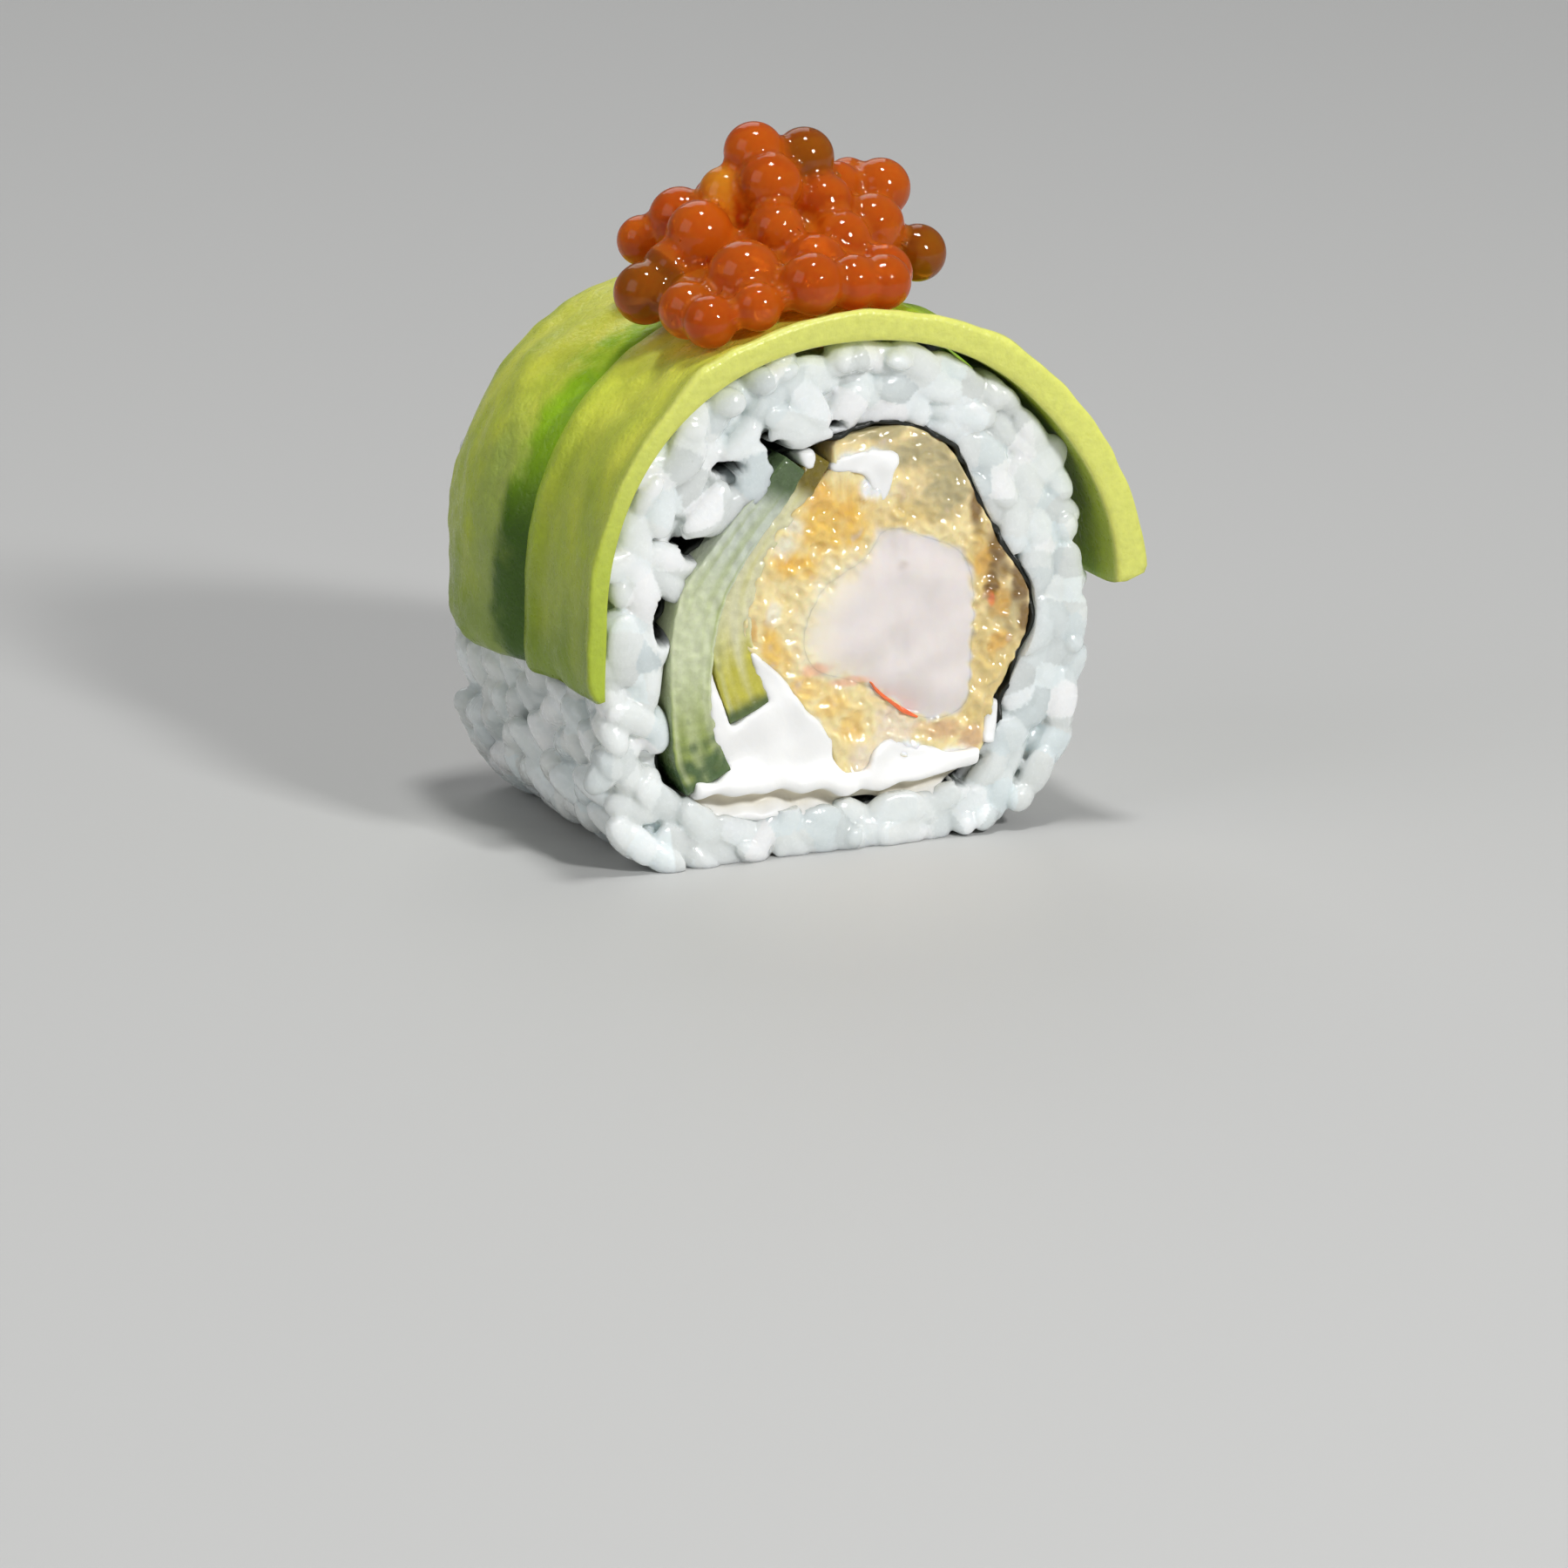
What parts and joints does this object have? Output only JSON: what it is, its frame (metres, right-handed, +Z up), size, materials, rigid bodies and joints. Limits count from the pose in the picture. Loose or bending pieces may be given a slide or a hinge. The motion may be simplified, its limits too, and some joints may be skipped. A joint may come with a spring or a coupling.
{
  "type": "avocado maki roll piece",
  "caption": "Cut piece of inside-out sushi roll on its side: rice round nori, a battered shrimp, cream cheese and cucumber filling, draped avocado slices and a heap of salmon roe.",
  "frame": {"origin": "middle of the flat underside of the rice, on the surface it lies on", "axes": "+Z up, -Y out of the front cut along the roll's axis, +X to the right seen from the front cut"},
  "size_m": [0.0546, 0.0371, 0.0629],
  "materials": {
    "rice": "moist, slightly translucent cooked grains",
    "nori": "dark green-black, crinkled, damp",
    "cucumber": "wet, translucent, with a darker green skin at the ends",
    "batter": "golden fried crumb, browner at its edge",
    "shrimp": "moist, translucent, pinkish white",
    "cream": "smooth, soft sheen",
    "avocado": "moist, yellow-green flesh, greener towards the skin side",
    "roe": "wet, clear orange jelly"
  },
  "bodies": {
    "root": {"rice": "rice", "nori": "nori", "cucumber_outer": "cucumber", "cucumber_inner": "cucumber", "tempura_batter": "batter", "shrimp": "shrimp", "cream_cheese": "cream", "cream_cheese_pocket": "cream", "avocado_front": "avocado", "avocado_back": "avocado", "roe": "roe"}
  },
  "joints": []
}
